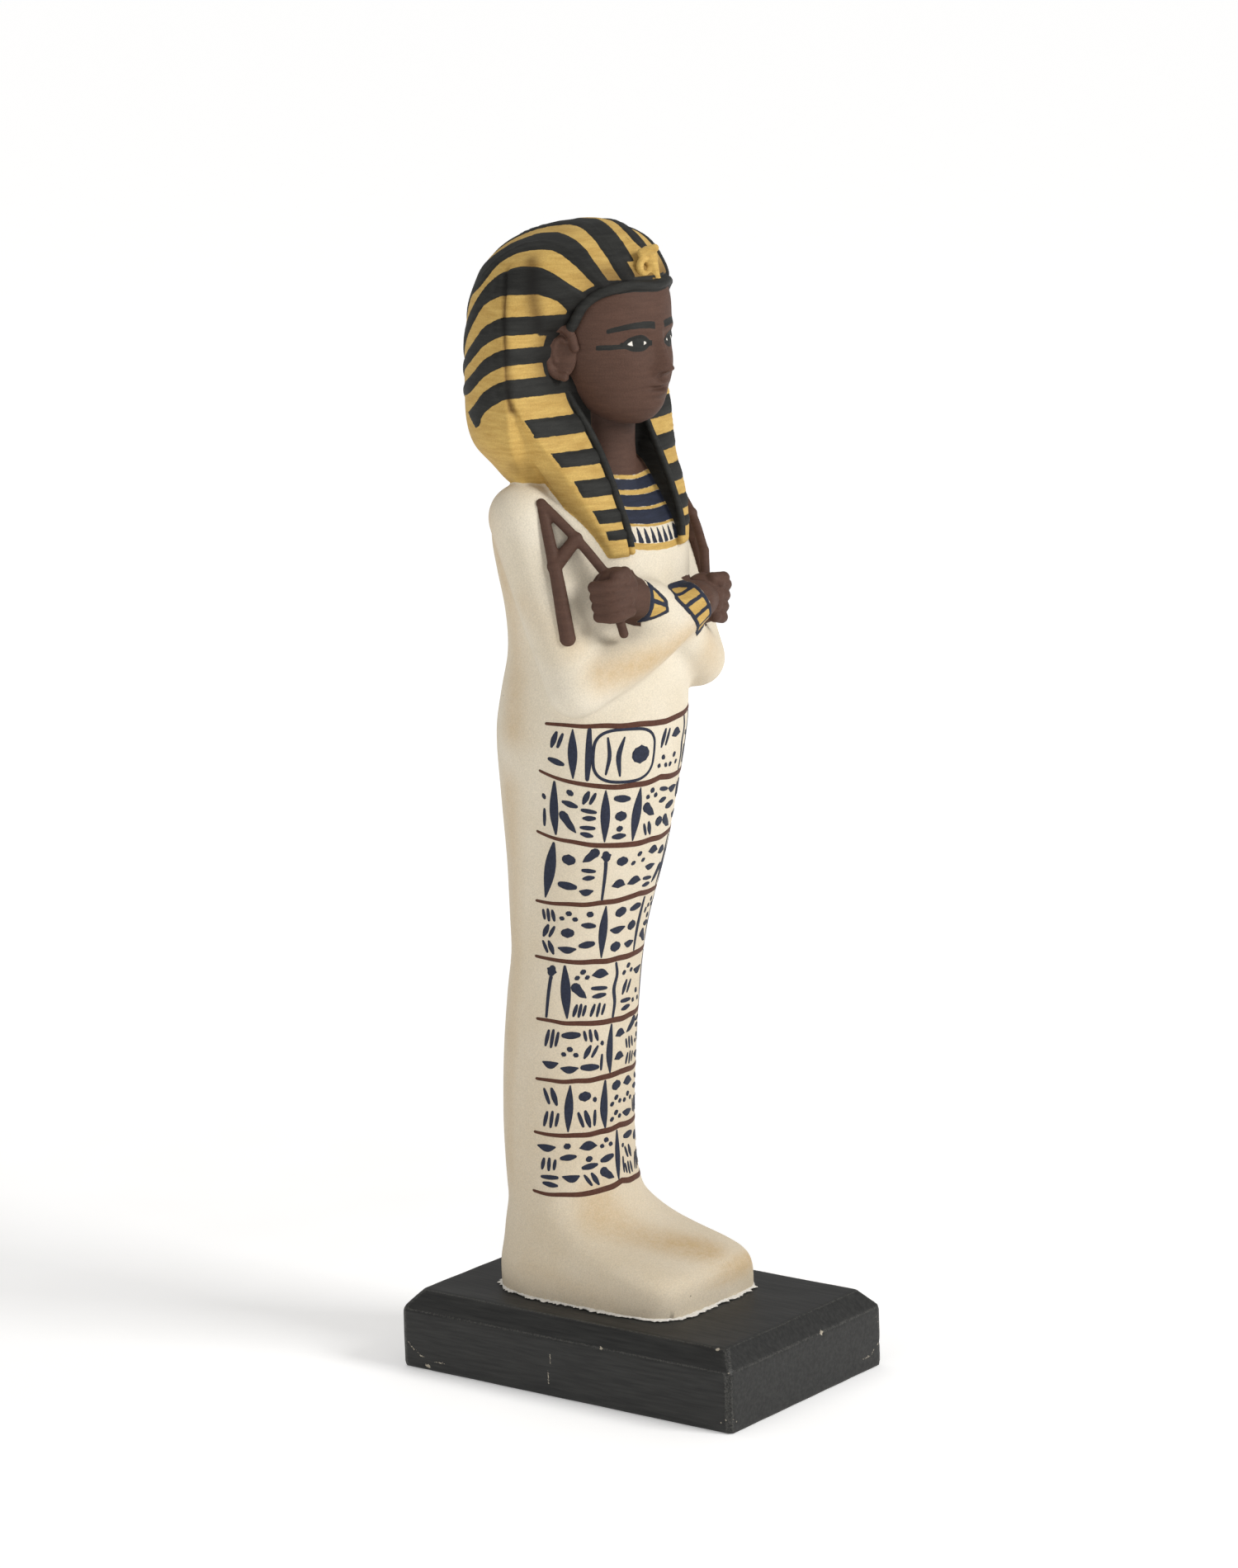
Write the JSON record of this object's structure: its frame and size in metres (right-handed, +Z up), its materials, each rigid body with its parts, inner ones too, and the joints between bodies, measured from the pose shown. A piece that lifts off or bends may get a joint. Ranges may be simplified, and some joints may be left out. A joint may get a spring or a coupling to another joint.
{
  "type": "ushabti figurine",
  "caption": "Cast and painted plaster ushabti figurine with crossed arms and a striped head cloth, standing on a separate black chamfered plinth.",
  "frame": {"origin": "middle of the plinth's underside", "axes": "+Z up, the figure faces -Y, its right hand is towards -X"},
  "size_m": [0.096, 0.15, 0.4228],
  "materials": {
    "painted_plaster": "matt hand-painted plaster: cream wrappings toned with ochre, gold and black head cloth, brown skin, dark blue strokes",
    "black_paint": "brushed satin black paint, worn at the edges"
  },
  "bodies": {
    "root": {"figure": "painted_plaster", "plinth": "black_paint"}
  },
  "joints": []
}
